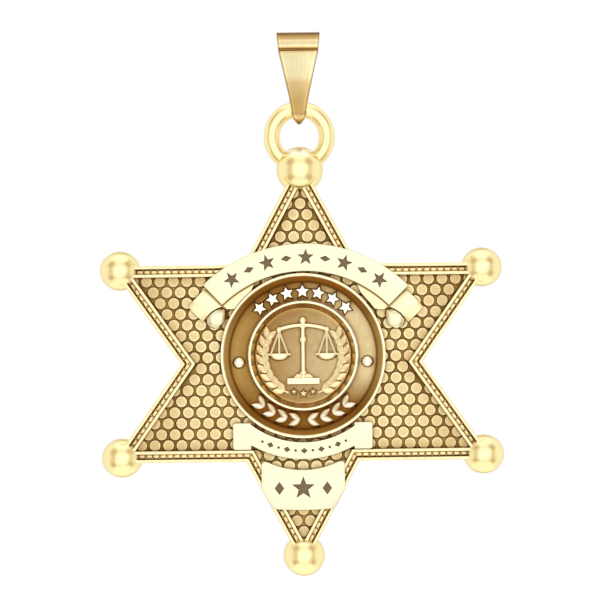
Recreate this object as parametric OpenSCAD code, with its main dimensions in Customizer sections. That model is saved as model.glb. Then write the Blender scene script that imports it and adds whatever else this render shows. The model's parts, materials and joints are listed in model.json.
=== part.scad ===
// Sheriff star badge pendant. X to the wearer's left, Z up, the front faces -Y.
// The origin is the inner top of the bail's eye, where the chain bears.
// Depths are given as distances in front of the middle plane of the balls and the ring.

/* [Star] */
// Distance from the centre to the sharp top and bottom points
star_tip_z = 16.2; // [15:0.1:18]
// Sideways distance to the four sharp side points
side_tip_x = 15.16; // [14:0.02:17]
// Height of the side arms' level edges above and below the centre
side_tip_z = 7.84; // [7.4:0.02:8.4]
// Sideways distance to the notches beside the centre
waist_x = 9.6; // [9:0.1:10.6]
// Sideways distance to the notches beside the top and bottom arms
shoulder_x = 4.48; // [4.1:0.02:5]
// Thickness of the plate behind the field
plate_t = 1.2; // [0.8:0.1:1.6]
// Distance of the field's floor in front of the middle plane
floor_front = 0.6; // [0.3:0.05:0.7]

/* [Rim] */
// Height of the rim above the field's floor
rim_h = 0.5; // [0.4:0.05:0.7]
// Width of the outer ridge
outer_ridge_w = 0.26; // [0.2:0.02:0.36]
// Width of the channel that holds the beads
channel_w = 0.46; // [0.4:0.02:0.6]
// Width of the inner ridge
inner_ridge_w = 0.22; // [0.16:0.02:0.36]
// Height of the channel's floor above the field's floor
channel_floor_h = 0.2; // [0.1:0.05:0.25]
// Length of one bead of the rim
bead_l = 0.5; // [0.4:0.02:0.54]
// Width of one bead of the rim
bead_w = 0.26; // [0.2:0.02:0.3]
// Height of a bead above the channel's floor
bead_h = 0.2; // [0.1:0.02:0.28]
// Distance from one bead to the next
bead_pitch = 0.57; // [0.56:0.01:0.8]
// Distance of the bead row from the inner ridge
bead_inner_gap = 0.03; // [0.02:0.01:0.06]

/* [Pebbled field] */
// Diameter of one pebble
pebble_d = 0.86; // [0.7:0.02:0.94]
// Sideways distance between pebbles of a row
pebble_pitch = 1.07; // [1.02:0.01:1.3]
// Distance between rows
pebble_row = 0.871; // [0.84:0.005:1.1]
// Height of a pebble above the floor
pebble_h = 0.25; // [0.15:0.05:0.35]
// Height of the row that starts the pattern, above the star's centre
first_row_z = 12.68; // [12:0.02:13]

/* [Balls and ring] */
// Diameter of the ball on the top point
top_ball_d = 3.74; // [3.4:0.02:4]
// Diameter of the ball on the bottom point
bottom_ball_d = 3.32; // [3:0.02:3.8]
// Diameter of the four side balls
side_ball_d = 3.2; // [2.8:0.02:3.6]
// Distance of each ball's centre inside the sharp point
ball_inset = 0.8; // [0.6:0.05:1]
// Thickness of the jump ring's wire
ring_wire_d = 1.28; // [1:0.02:1.36]
// Inner diameter of the jump ring
ring_inner_d = 3.14; // [3:0.02:3.6]
// Distance from the top ball's centre up to the ring's centre
ring_rise = 2.65; // [2.4:0.05:2.9]

/* [Bail] */
// Height of the bail over all
bail_h = 7.38; // [6.8:0.02:9]
// Thickness of the bail's strip
bail_t = 0.42; // [0.3:0.05:0.5]
// Width across the top fold
bail_top_w = 3.48; // [3:0.02:4]
// Width at the crease below the top fold
bail_crease_w = 3.2; // [2.8:0.02:3.6]
// Width where the narrow foot starts
bail_neck_w = 1.56; // [1.3:0.02:1.7]
// Height of the narrow foot
bail_foot_h = 2.28; // [2:0.02:2.6]
// Width of the foot where its round end starts
bail_foot_w = 1; // [0.8:0.02:1.1]
// Inner radius of the fold that the chain runs through
eye_r = 1; // [0.9:0.05:1.1]
// Play of the ring's wire in the bail's lower loop
hang_gap = 0.17; // [0.12:0.01:0.3]
// Depth of the crease below the top fold
crease_depth = 0.1; // [0.05:0.01:0.15]

/* [Seal] */
// Radius of the seal
seal_r = 6.56; // [6.2:0.02:6.7]
// Height of the seal's centre above the star's centre
seal_rise = 0.58; // [0.4:0.02:0.7]
// Distance of the seal's centre to the right of the star's axis
seal_shift = 0.1; // [0:0.02:0.2]
// Thickness of the seal up to its lip
seal_t = 1.08; // [0.9:0.02:1.2]
// Width of the bright lip
lip_w = 0.2; // [0.14:0.02:0.3]
// Width of the slope from the lip down to the legend
lip_slope_w = 0.5; // [0.3:0.02:0.6]
// Width of the legend ring
legend_w = 1.5; // [1.4:0.02:1.6]
// Width of the bright inner ring
inner_ring_w = 0.16; // [0.12:0.02:0.24]
// Width of the slope inside the inner ring
inner_slope_w = 0.42; // [0.3:0.02:0.5]
// Depth of the legend's floor below the lip
legend_depth = 0.5; // [0.4:0.02:0.54]
// Depth of the emblem's floor below the lip
emblem_depth = 0.6; // [0.5:0.02:0.64]
// Height of the raised ornament above its floor
relief_h = 0.32; // [0.2:0.02:0.36]
// Radius of a legend star
legend_star_r = 0.6; // [0.45:0.01:0.62]
// Radius of the pellets beside the emblem
pellet_r = 0.43; // [0.3:0.01:0.5]

/* [Panels] */
// Gap between a panel and what it lies on
seat_gap = 0.02; // [0.02:0.01:0.04]
// Thickness of the panels
panel_t = 0.55; // [0.4:0.05:0.6]
// Depth of the engraved marks
engrave_depth = 0.12; // [0.08:0.02:0.16]
// Gap between the seal's top and the banner
banner_gap = 0.15; // [0.08:0.01:0.24]
// Width of the top banner's band
banner_w = 2.21; // [2:0.01:2.24]
// Distance of the banner's arc centre below the star's centre
banner_drop = 2.2; // [2:0.02:2.22]
// Half of the angle that the banner covers
banner_half_angle = 44.3; // [40:0.1:46]
// Distance of the banner's centre to the right of the star's axis
banner_shift = 0.26; // [0:0.02:0.3]
// Clockwise turn of the banner
banner_turn = 0.7; // [0:0.1:1]
// Length of the folded end of the ribbon behind the banner
fold_l = 2; // [1.6:0.05:2.2]
// How far the folded end stays inside the banner's outer edge
fold_step = 0.5; // [0.3:0.02:0.6]
// Length of the curled tip below the fold
curl_l = 1.65; // [1.4:0.05:1.8]
// Width of the curled tip
curl_w = 1; // [0.8:0.02:1.1]
// Gap between the seal and the lower ribbon
ribbon_gap = 0.32; // [0.15:0.01:0.4]
// Width of the lower ribbon's band
ribbon_w = 1.36; // [1.2:0.02:1.6]
// Half of the lower ribbon's width over its end tabs
ribbon_half_w = 5.55; // [5.2:0.05:5.8]
// Sideways distance where the end tabs start
tab_start_x = 4.1; // [3.9:0.02:4.3]
// Gap between the seal and the corner of an end tab
tab_gap = 0.1; // [0.06:0.01:0.3]
// Gap between the end tabs and the rim below them
tab_rim_gap = 0.04; // [0.02:0.01:0.3]
// Half of the number plate's width
plate_half_w = 3.32; // [3.2:0.02:3.4]
// Gap between the height of the lower ribbon's bottom and the number plate's top corners
plate_gap = 0.14; // [0.1:0.01:0.3]
// Depth of the hollow in the number plate's top edge
plate_hollow = 0.66; // [0.5:0.02:0.8]
// Distance of the number plate's bottom edge below the star's centre
plate_bottom_z = 11.56; // [11.3:0.02:11.9]
// Bulge of the number plate's bottom edge
plate_bulge = 0.12; // [0.06:0.02:0.2]
// Radius of the number plate's rounded top corners
plate_corner_r = 0.3; // [0.2:0.02:0.4]

/* [Hidden] */
$fn = 48;
gold = [0.93, 0.76, 0.42];
pale_gold = [0.99, 0.93, 0.72];
antique_gold = [0.72, 0.55, 0.3];
// How far one solid is sunk into the next where both are one casting
sink = 0.06;

rim_w = outer_ridge_w + channel_w + inner_ridge_w;
rim_front = floor_front + rim_h;
pebble_front = floor_front + pebble_h;
wire_r = ring_wire_d / 2;
ring_mean_r = ring_inner_d / 2 + wire_r;
loop_r = wire_r + hang_gap;
swing_z = 2 * bail_t - bail_h + loop_r;
ring_z = swing_z - ring_mean_r;
top_ball_z = ring_z - ring_rise;
star_z = top_ball_z - star_tip_z + ball_inset;

seal_back = floor_front + seat_gap;
lip_front = seal_back + seal_t;
legend_front = lip_front - legend_depth;
emblem_front = lip_front - emblem_depth;
legend_out_r = seal_r - lip_w - lip_slope_w;
legend_in_r = legend_out_r - legend_w;
legend_mid_r = (legend_out_r + legend_in_r) / 2;
inner_ring_r = legend_in_r - inner_ring_w;
emblem_r = inner_ring_r - inner_slope_w;

high_panel_back = rim_front + seat_gap;
low_panel_back = pebble_front + seat_gap;
banner_in_r = seal_r + seal_rise + banner_drop + banner_gap;
banner_r = banner_in_r + banner_w;
banner_mid_r = banner_r - banner_w / 2;
ribbon_in_r = seal_r + ribbon_gap;
ribbon_out_r = ribbon_in_r + ribbon_w;
// Heights below the star's centre
tab_top_z = sqrt(pow(seal_r + tab_gap, 2) - pow(tab_start_x - seal_shift, 2)) - seal_rise;
tab_h = side_tip_z - rim_w - tab_rim_gap - tab_top_z;
plate_top_z = ribbon_out_r - seal_rise + plate_gap;

// One quarter of the star's outline, clockwise from the top point, mirrored to all four
function star_outline() = let (
    right = [[0, star_tip_z], [shoulder_x, side_tip_z], [side_tip_x, side_tip_z], [waist_x, 0],
        [side_tip_x, -side_tip_z], [shoulder_x, -side_tip_z], [0, -star_tip_z]]
) concat(right, [for (i = [5:-1:1]) [-right[i][0], right[i][1]]]);

function unit(v) = v / norm(v);
function inward(a, b) = let (d = unit(b - a)) [d[1], -d[0]];

// The outline moved inwards by d, with mitred corners. The points run clockwise.
function inset(points, d) = [
    for (i = [0:len(points) - 1])
    let (
        last = points[(i + len(points) - 1) % len(points)],
        next = points[(i + 1) % len(points)],
        a = inward(last, points[i]),
        b = inward(points[i], next)
    ) points[i] + d * (a + b) / (1 + a * b)
];

// Distance from a point to the stretch between a and b
function stretch_distance(p, a, b) =
    let (t = max(0, min(1, (p - a) * (b - a) / ((b - a) * (b - a))))) norm(p - a - t * (b - a));

function outline_distance(p, points) = min([
    for (i = [0:len(points) - 1]) stretch_distance(p, points[i], points[(i + 1) % len(points)])
]);

// True where the line from p to the right crosses the outline an odd number of times
function is_inside(p, points) = let (
    crossings = [
        for (i = [0:len(points) - 1])
        let (a = points[i], b = points[(i + 1) % len(points)])
        if ((a[1] > p[1]) != (b[1] > p[1]) &&
            p[0] < a[0] + (b[0] - a[0]) * (p[1] - a[1]) / (b[1] - a[1])) 1
    ]
) len(crossings) % 2 == 1;

function star_points(r, inner = 0.42) = [
    for (i = [0:9]) let (a = 90 + 36 * i, ri = i % 2 == 0 ? r : inner * r) [ri * cos(a), ri * sin(a)]
];

function lozenge_points(l, w) = [[-l / 2, 0], [0, w / 2], [l / 2, 0], [0, -w / 2]];

// A pointed leaf that starts at the origin and runs along X
function leaf_points(l, w) = concat(
    [for (i = [0:4]) [l * i / 4, w / 2 * sin(45 * i)]],
    [for (i = [3:-1:1]) [l * i / 4, -w / 2 * sin(45 * i)]]
);

function arc_points(c, r, from, to, n = 4) = [
    for (i = [0:n]) let (a = from + (to - from) * i / n) c + r * [cos(a), sin(a)]
];

// A flat shape in X and Z, raised from one depth to another in front of the middle plane
module raised(back, front) {
    translate([0, -back, 0]) rotate([90, 0, 0]) linear_extrude(front - back) children();
}

module ring_2d(outer_r, inner_r) {
    difference() {
        circle(outer_r);
        circle(inner_r);
    }
}

// The part of a ring within an angle on either side of straight up
module arc_band(outer_r, inner_r, half_angle) {
    reach = 2 * outer_r;
    intersection() {
        ring_2d(outer_r, inner_r);
        polygon([[0, 0], [-reach * sin(half_angle), reach * cos(half_angle)], [0, reach],
            [reach * sin(half_angle), reach * cos(half_angle)]]);
    }
}

module both_sides() {
    children();
    mirror([1, 0]) children();
}

// Pebbles in rows, each second row moved by half a pitch, cut off inside the inner ridge
module pebbles() {
    field = inset(star_outline(), rim_w);
    under_ridge = inset(star_outline(), rim_w - sink);
    rows = ceil((first_row_z + star_tip_z) / pebble_row);
    columns = ceil(side_tip_x / pebble_pitch);
    difference() {
        intersection() {
            polygon(under_ridge);
            union() {
                for (row = [-2:rows], column = [-columns:columns]) {
                    p = [(column + (row % 2 == 0 ? 0 : 0.5)) * pebble_pitch, first_row_z - row * pebble_row];
                    edge = outline_distance(p, field);
                    if (is_inside(p, field) || edge < pebble_d / 4) translate(p) circle(d = pebble_d, $fn = 24);
                }
            }
        }
        translate([seal_shift, seal_rise]) circle(seal_r + seat_gap);
    }
}

function bead_outline(l, w) = let (c = w / 4) [
    [-l / 2, -c], [-l / 2 + c, -w / 2], [l / 2 - c, -w / 2], [l / 2, -c],
    [l / 2, c], [l / 2 - c, w / 2], [-l / 2 + c, w / 2], [-l / 2, c]
];

// A row of long beads along each edge of the star, beside the inner ridge
module beads() {
    line = inset(star_outline(), outer_ridge_w + channel_w - bead_inner_gap - bead_w / 2);
    for (i = [0:len(line) - 1]) {
        a = line[i];
        b = line[(i + 1) % len(line)];
        n = floor((norm(b - a) - bead_l) / bead_pitch);
        along = unit(b - a);
        for (k = [0:n]) {
            p = (a + b) / 2 + (k - n / 2) * bead_pitch * along;
            translate(p) rotate(atan2(along[1], along[0])) polygon(bead_outline(bead_l, bead_w));
        }
    }
}

module ball_at(tip, d) {
    p = tip - ball_inset * unit(tip);
    translate([p[0], 0, p[1]]) sphere(d = d);
}

module star_body() color(gold) {
    outline = star_outline();
    translate([0, 0, star_z]) {
        difference() {
            raised(floor_front - plate_t, rim_front) polygon(outline);
            raised(floor_front, rim_front + 1) polygon(inset(outline, rim_w));
            raised(floor_front + channel_floor_h, rim_front + 1) difference() {
                polygon(inset(outline, outer_ridge_w));
                polygon(inset(outline, outer_ridge_w + channel_w));
            }
        }
        raised(floor_front - sink, pebble_front) pebbles();
        raised(floor_front + channel_floor_h - sink, floor_front + channel_floor_h + bead_h) beads();
        ball_at([0, star_tip_z], top_ball_d);
        ball_at([0, -star_tip_z], bottom_ball_d);
        for (x = [-1, 1], z = [-1, 1]) ball_at([x * side_tip_x, z * side_tip_z], side_ball_d);
    }
    translate([0, 0, ring_z]) rotate([90, 0, 0]) rotate_extrude() translate([ring_mean_r, 0]) circle(wire_r);
}

// Seven stars over the emblem and a garland of leaves below it
module legend_ornament() {
    star_step = 14;
    leaf_step = 12;
    leaf_l = 0.62 * legend_w;
    for (i = [-3:3]) rotate(i * star_step) translate([0, legend_mid_r]) polygon(star_points(legend_star_r));
    for (i = [0:3]) both_sides() rotate(180 + (i + 0.5) * leaf_step) translate([0, legend_mid_r]) {
        rotate(150) polygon(leaf_points(leaf_l, leaf_l / 2));
        rotate(-150) polygon(leaf_points(leaf_l, leaf_l / 2));
    }
    both_sides() translate([legend_mid_r, -0.1 * legend_mid_r]) circle(pellet_r);
}

// A pair of balance scales. Sizes are shares of the emblem's radius.
module scales() {
    u = emblem_r;
    beam_r = 1.5 * u;
    beam_top = 0.66 * u;
    pan_x = 0.5 * u;
    pan_z = 0.04 * u;
    translate([-0.035 * u, -0.52 * u]) square([0.07 * u, 1.22 * u]);
    translate([0, 0.72 * u]) circle(0.08 * u);
    translate([0, 0.34 * u]) circle(0.07 * u);
    translate([-0.15 * u, -0.5 * u]) square([0.3 * u, 0.07 * u]);
    translate([-0.26 * u, -0.59 * u]) square([0.52 * u, 0.11 * u]);
    translate([0, beam_top - beam_r]) arc_band(beam_r + 0.035 * u, beam_r - 0.035 * u, 20);
    both_sides() {
        translate([pan_x, beam_top - 0.09 * u]) circle(0.06 * u);
        for (side = [-1, 1]) polygon([
            [pan_x - 0.02 * u, beam_top - 0.12 * u], [pan_x + 0.02 * u, beam_top - 0.12 * u],
            [pan_x + (0.19 * side + 0.02) * u, pan_z], [pan_x + (0.19 * side - 0.02) * u, pan_z]
        ]);
        intersection() {
            translate([pan_x, pan_z]) circle(0.22 * u);
            translate([pan_x - 0.3 * u, pan_z - 0.14 * u]) square([0.6 * u, 0.16 * u]);
        }
    }
}

// Two laurel branches that start under the scales, and three small stars between them
module wreath() {
    branch_r = 0.84 * emblem_r;
    leaf_l = 0.25 * emblem_r;
    both_sides() {
        for (i = [0:7]) rotate(212 + 12.5 * i) translate([0, branch_r]) {
            rotate(205) polygon(leaf_points(leaf_l, leaf_l / 2.4));
            rotate(155) polygon(leaf_points(leaf_l, leaf_l / 2.4));
        }
        translate([0.2 * emblem_r, -0.76 * emblem_r]) polygon(star_points(0.09 * emblem_r));
    }
    translate([0, -0.8 * emblem_r]) polygon(star_points(0.11 * emblem_r));
}

module seal() color(antique_gold) {
    lip_round = 0.06;
    translate([seal_shift, 0, star_z + seal_rise]) {
        rotate([90, 0, 0]) rotate_extrude() polygon([
            [0, seal_back], [seal_r, seal_back], [seal_r, lip_front - lip_round],
            [seal_r - lip_round, lip_front], [seal_r - lip_w + lip_round, lip_front],
            [seal_r - lip_w, lip_front - lip_round], [legend_out_r, lip_front - legend_depth / 2],
            [legend_out_r, legend_front], [legend_in_r, legend_front],
            [legend_in_r, lip_front - lip_round], [inner_ring_r, lip_front - lip_round],
            [inner_ring_r, lip_front - 3 * lip_round], [emblem_r, emblem_front], [0, emblem_front]
        ]);
        raised(legend_front - sink, legend_front + relief_h) legend_ornament();
        raised(emblem_front - sink, emblem_front + relief_h) {
            scales();
            wreath();
        }
    }
}

// Engraved row of stars and lozenges along the middle of the banner
module banner_marks() {
    step = 8.4;
    for (i = [-4:4]) rotate(i * step) translate([0, banner_mid_r])
        if (i % 2 == 0) polygon(star_points(0.31 * banner_w));
        else polygon(lozenge_points(0.4 * banner_w, 0.22 * banner_w));
}

// The ribbon's end behind the banner. X runs on past the banner's end, Z outwards from its centre.
module ribbon_fold() {
    out_r = banner_r - fold_step;
    in_r = banner_in_r + 0.06;
    polygon([[-0.4 * banner_w, out_r - 0.3], [0.1 * fold_l, out_r], [fold_l, out_r - 0.04],
        [fold_l - 0.04, in_r + 0.08], [-0.04 * fold_l, in_r], [-0.4 * banner_w, in_r + 0.5]]);
}

// The curled tip of the ribbon below its fold
module ribbon_curl() {
    top = banner_in_r + 0.12;
    polygon([[0.1 * curl_l, top - 0.4 * curl_w], [0.45 * curl_l, top], [0.9 * curl_l, top + 0.04],
        [1.12 * curl_l, top - 0.14], [1.2 * curl_l, top - 0.7 * curl_w], [0.98 * curl_l, top - 1.12 * curl_w],
        [0.5 * curl_l, top - curl_w], [0.2 * curl_l, top - 0.75 * curl_w]]);
}

// The ribbon where it comes out from under the banner, beside the seal
module ribbon_back() {
    depth = 0.52 * curl_l;
    rotate(-banner_half_angle) polygon([[-0.08 * fold_l, banner_in_r + 0.4],
        [-0.05 * fold_l, banner_in_r - 0.1], [-0.35 * fold_l, banner_in_r - depth],
        [-1.2 * fold_l, banner_in_r - depth], [-1.65 * fold_l, banner_in_r - 0.6 * depth],
        [-1.3 * fold_l, banner_in_r + 0.2]]);
}

module top_banner() color(pale_gold) {
    fold_front = high_panel_back + 0.2 * panel_t;
    seal_place = [seal_shift - banner_shift, banner_drop + seal_rise];
    translate([banner_shift, 0, star_z - banner_drop]) rotate([0, banner_turn, 0]) {
        difference() {
            raised(high_panel_back, high_panel_back + panel_t) arc_band(banner_r, banner_in_r, banner_half_angle);
            raised(high_panel_back + panel_t - engrave_depth, high_panel_back + panel_t + 1) banner_marks();
        }
        for (side = [0, 1]) mirror([side, 0, 0]) {
            raised(low_panel_back, fold_front) rotate(-banner_half_angle) ribbon_fold();
            raised(low_panel_back, fold_front + 0.1) rotate(-banner_half_angle) ribbon_curl();
        }
        raised(low_panel_back, fold_front - 0.05) difference() {
            both_sides() ribbon_back();
            rotate(banner_turn) translate(seal_place) circle(seal_r + 3 * seat_gap);
        }
    }
}

module lower_ribbon() color(pale_gold) {
    mid_r = (ribbon_in_r + ribbon_out_r) / 2;
    front = low_panel_back + panel_t;
    corner_r = 0.22;
    step = 5.2;
    tab_w = ribbon_half_w - tab_start_x;
    translate([0, 0, star_z]) difference() {
        union() {
            raised(low_panel_back, front) intersection() {
                translate([seal_shift, seal_rise]) ring_2d(ribbon_out_r, ribbon_in_r);
                translate([-tab_start_x - 0.1, -star_tip_z]) square([2 * tab_start_x + 0.2, star_tip_z - tab_top_z]);
            }
            for (side = [0, 1]) mirror([side, 0, 0]) raised(low_panel_back, front)
                translate([tab_start_x, -tab_top_z - tab_h]) polygon(concat(
                    [[0, 0]],
                    arc_points([tab_w - corner_r, corner_r], corner_r, -90, 0),
                    arc_points([tab_w - corner_r, tab_h - corner_r], corner_r, 0, 90),
                    [[0, tab_h]]
                ));
        }
        raised(front - engrave_depth, front + 1) translate([seal_shift, seal_rise]) {
            for (i = [-5:5]) rotate(180 + i * step) translate([0, mid_r])
                if (i % 2 == 0) polygon(lozenge_points(0.36 * ribbon_w, 0.3 * ribbon_w));
                else circle(0.07 * ribbon_w, $fn = 16);
        }
    }
}

module number_plate() color(pale_gold) {
    front = high_panel_back + panel_t;
    // Half width of the lower arm at a given distance below the star's centre
    slope = shoulder_x / (star_tip_z - side_tip_z);
    low_x = (star_tip_z - plate_bottom_z) * slope;
    side_z = star_tip_z - plate_half_w / slope;
    hollow_x = plate_half_w - 1.6 * plate_corner_r;
    hollow_r = (hollow_x * hollow_x + plate_hollow * plate_hollow) / (2 * plate_hollow);
    hollow_angle = asin(hollow_x / hollow_r);
    bulge_r = (low_x * low_x + plate_bulge * plate_bulge) / (2 * plate_bulge);
    bulge_angle = asin(low_x / bulge_r);
    top_corner = [plate_half_w - plate_corner_r, -plate_top_z - plate_corner_r];
    star_r = 0.95;
    translate([0, 0, star_z]) difference() {
        raised(high_panel_back, front) polygon(concat(
            arc_points(top_corner, plate_corner_r, 120, 0),
            [[plate_half_w, -side_z]],
            arc_points([0, -plate_bottom_z + bulge_r - plate_bulge], bulge_r,
                -90 + bulge_angle, -90 - bulge_angle, 8),
            [[-plate_half_w, -side_z]],
            arc_points([-top_corner[0], top_corner[1]], plate_corner_r, 180, 60),
            arc_points([0, hollow_r - plate_hollow - plate_top_z - 0.02], hollow_r,
                -90 - hollow_angle + 1, -90 + hollow_angle - 1, 12)
        ));
        raised(front - engrave_depth, front + 1) translate([0, -(plate_top_z + plate_bottom_z + 0.5) / 2]) {
            polygon(star_points(star_r));
            both_sides() translate([2 * star_r, 0]) polygon(lozenge_points(0.8 * star_r, 1.1 * star_r));
        }
    }
}

// The folded strip's outer or inner form, which runs through along X
module bail_loop(grow) {
    top_r = eye_r + grow;
    low_r = loop_r + grow;
    through = 2 * bail_top_w;
    rotate([90, 0, 90]) {
        translate([0, -eye_r, 0]) cylinder(r = top_r, h = through, center = true);
        translate([0, swing_z, 0]) cylinder(r = low_r, h = through, center = true);
        linear_extrude(through, center = true)
            polygon([[-top_r, -eye_r], [top_r, -eye_r], [low_r, swing_z], [-low_r, swing_z]]);
    }
}

module bail() color(gold) {
    top = bail_t;
    bottom = bail_t - bail_h;
    neck = bottom + bail_foot_h;
    end_z = bottom + bail_foot_w / 2;
    difference() {
        intersection() {
            bail_loop(bail_t);
            raised(-2 * bail_h, 2 * bail_h) polygon(concat(
                [[-bail_neck_w / 2, neck], [-bail_crease_w / 2, -eye_r], [-bail_top_w / 2, top],
                    [-bail_top_w / 2, top + 1], [bail_top_w / 2, top + 1], [bail_top_w / 2, top],
                    [bail_crease_w / 2, -eye_r], [bail_neck_w / 2, neck]],
                arc_points([0, end_z], bail_foot_w / 2, 0, -180, 12)
            ));
        }
        bail_loop(0);
        translate([0, -eye_r - bail_t, -eye_r]) rotate([45, 0, 0])
            cube([2 * bail_top_w, crease_depth * sqrt(2), crease_depth * sqrt(2)], center = true);
    }
}

bail();
star_body();
seal();
top_banner();
lower_ribbon();
number_plate();
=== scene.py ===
"""Sheriff star badge pendant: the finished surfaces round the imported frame.

Pieces are modelled in millimetres and put into metres when they are finished. X runs to the right as the
front is seen, Z up, and the front faces -Y. A depth is a distance in front of the middle plane.
"""

import json
import math

import bpy
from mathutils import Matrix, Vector


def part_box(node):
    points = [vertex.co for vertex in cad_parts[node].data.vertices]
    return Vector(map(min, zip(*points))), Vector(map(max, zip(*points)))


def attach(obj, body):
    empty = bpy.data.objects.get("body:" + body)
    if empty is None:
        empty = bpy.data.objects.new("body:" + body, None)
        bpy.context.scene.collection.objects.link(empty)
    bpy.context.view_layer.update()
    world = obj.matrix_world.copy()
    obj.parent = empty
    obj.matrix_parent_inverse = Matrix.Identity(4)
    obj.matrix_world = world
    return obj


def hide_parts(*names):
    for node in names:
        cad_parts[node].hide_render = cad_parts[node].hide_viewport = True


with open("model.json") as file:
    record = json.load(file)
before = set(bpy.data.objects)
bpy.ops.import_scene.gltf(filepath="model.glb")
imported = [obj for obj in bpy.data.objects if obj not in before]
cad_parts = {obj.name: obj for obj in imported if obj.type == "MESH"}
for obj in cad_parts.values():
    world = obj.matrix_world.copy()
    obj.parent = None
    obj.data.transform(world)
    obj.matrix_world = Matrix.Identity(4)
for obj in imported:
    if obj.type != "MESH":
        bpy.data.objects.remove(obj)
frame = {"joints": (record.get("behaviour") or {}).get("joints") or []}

MM = 0.001
QUARTER_TURN = math.pi / 2
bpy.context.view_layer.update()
seal_low, seal_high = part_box("seal")

# Places that come from the frame
SEAL_X = (seal_low.x + seal_high.x) / 2 / MM
SEAL_Z = (seal_low.z + seal_high.z) / 2 / MM
SEAL_R = (seal_high.x - seal_low.x) / 2 / MM
LIP_FRONT = -seal_low.y / MM
SEAL_BACK = -seal_high.y / MM
STAR_Z = SEAL_Z - 0.58
BAIL_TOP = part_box("bail")[1].z / MM
BAIL_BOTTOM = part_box("bail")[0].z / MM
BANNER_FRONT = -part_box("top_banner")[0].y / MM
RIBBON_FRONT = -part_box("lower_ribbon")[0].y / MM
PLATE_FRONT = -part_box("number_plate")[0].y / MM
SWING_Z = frame["joints"][0]["pos_m"][2] / MM

# Star: heights are from its centre
TIP_Z = 16.2
SIDE_TIP_X = 15.16
SIDE_TIP_Z = 7.84
SHOULDER_X = 4.48
WAIST_X = 9.6
PLATE_BACK = -0.6
FLOOR_FRONT = 0.6
CHANNEL_FRONT = 0.8
RIM_FRONT = 1.1
RIM_W = 0.94
RIM_WALL = 0.02
OUTER_RIDGE_W = 0.26
CHANNEL_W = 0.41
INNER_RIDGE_W = 0.27

BEAD_L = 0.54
BEAD_W = 0.34
BEAD_PITCH = 0.57
BEAD_INSET = 0.5

PEBBLE_R = 0.45
PEBBLE_PITCH = 1.07
PEBBLE_ROW = 0.871
FIRST_ROW_Z = 12.68

BALL_INSET = 0.8
TOP_BALL_R = 1.87
BOTTOM_BALL_R = 1.66
SIDE_BALL_R = 1.6
WIRE_R = 0.64
RING_R = 2.21

# Bail: the foot narrows from its neck to a long round end
BAIL_T = 0.42
BAIL_TOP_W = 3.48
BAIL_CREASE_W = 3.2
BAIL_NECK_W = 1.56
BAIL_FOOT_W = 1.04
NECK_Z = BAIL_BOTTOM + 2.28
FOOT_END_H = 0.62
FOOT_END_Z = BAIL_BOTTOM + FOOT_END_H
CREASE_Z = -1.06
EYE_R = 1.0
LOOP_R = 0.81

# Seal: radii and depths. Ornament is rooted a little below the surface that it stands on
LIP_IN_R = 6.4
LEGEND_OUT_R = 5.86
LEGEND_IN_R = 4.36
RING_IN_R = 4.16
EMBLEM_R = 3.78
LEGEND_MID_R = (LEGEND_OUT_R + LEGEND_IN_R) / 2
LEGEND_FRONT = LIP_FRONT - 0.5
EMBLEM_FRONT = LIP_FRONT - 0.6
LEGEND_ROOT = LEGEND_FRONT - 0.02
EMBLEM_ROOT = EMBLEM_FRONT - 0.02
RELIEF_H = 0.32

# Panels
BANNER_X = 0.26
BANNER_Z = STAR_Z - 2.2
BANNER_TURN = 0.7
BANNER_IN_R = 9.49
BANNER_OUT_R = 11.7
BANNER_HALF = 44.3
BANNER_BACK = BANNER_FRONT - 0.55
PEBBLE_SEAT = 0.87
ENGRAVE = 0.12


# Selection and editing

def clear_selection():
    if bpy.context.mode != "OBJECT":
        bpy.ops.object.mode_set(mode="OBJECT")
    bpy.ops.object.select_all(action="DESELECT")


def take(obj):
    """Makes obj the one selected object."""
    clear_selection()
    obj.select_set(True)
    bpy.context.view_layer.objects.active = obj


def edit_all(obj, kind="FACE", action="SELECT"):
    """Opens obj for editing with all of it selected, or none of it where the action is DESELECT."""
    take(obj)
    bpy.ops.object.mode_set(mode="EDIT")
    bpy.ops.mesh.select_mode(type=kind)
    bpy.ops.mesh.select_all(action=action)


def edit_some(obj, kind, wanted):
    """Opens obj for editing with the faces (FACE) or corners (VERT) selected for which wanted is true."""
    edit_all(obj, kind, "DESELECT")
    bpy.ops.object.mode_set(mode="OBJECT")
    for part in obj.data.polygons if kind == "FACE" else obj.data.vertices:
        part.select = wanted(part)
    bpy.ops.object.mode_set(mode="EDIT")


def edit_front(obj):
    edit_some(obj, "FACE", lambda face: face.normal.y < -0.9)


def edit_corners(obj, wanted):
    """Opens obj for editing with the corners selected for which wanted(place) is true."""
    edit_some(obj, "VERT", lambda corner: wanted(corner.co))


def move_corner(obj, start, end):
    edit_corners(obj, lambda co: (co - start).length < 1e-6)
    bpy.ops.transform.translate(value=end - start)


def forward(amount):
    """Extrudes what is selected towards the front."""
    bpy.ops.mesh.extrude_region_move(TRANSFORM_OT_translate={"value": (0, -amount, 0)})


def border(width, rise=0.0):
    """Insets the selected faces and raises them, or sinks them where rise is negative."""
    bpy.ops.mesh.inset(thickness=width, depth=rise)


def outwards():
    """Turns the normals of what is selected outwards."""
    bpy.ops.mesh.normals_make_consistent(inside=False)


def done(obj):
    bpy.ops.object.mode_set(mode="OBJECT")
    return obj


def face_out(obj):
    """Turns all of obj's normals outwards."""
    edit_all(obj)
    outwards()
    return done(obj)


def deepen(obj, amount):
    """Makes a flat face into a closed solid that reaches an amount further forward."""
    edit_all(obj)
    forward(amount)
    outwards()
    return done(obj)


def apply_placing():
    """Puts the places, turns and sizes of the selected objects into their meshes."""
    bpy.ops.object.transform_apply(location=True, rotation=True, scale=True)


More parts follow.
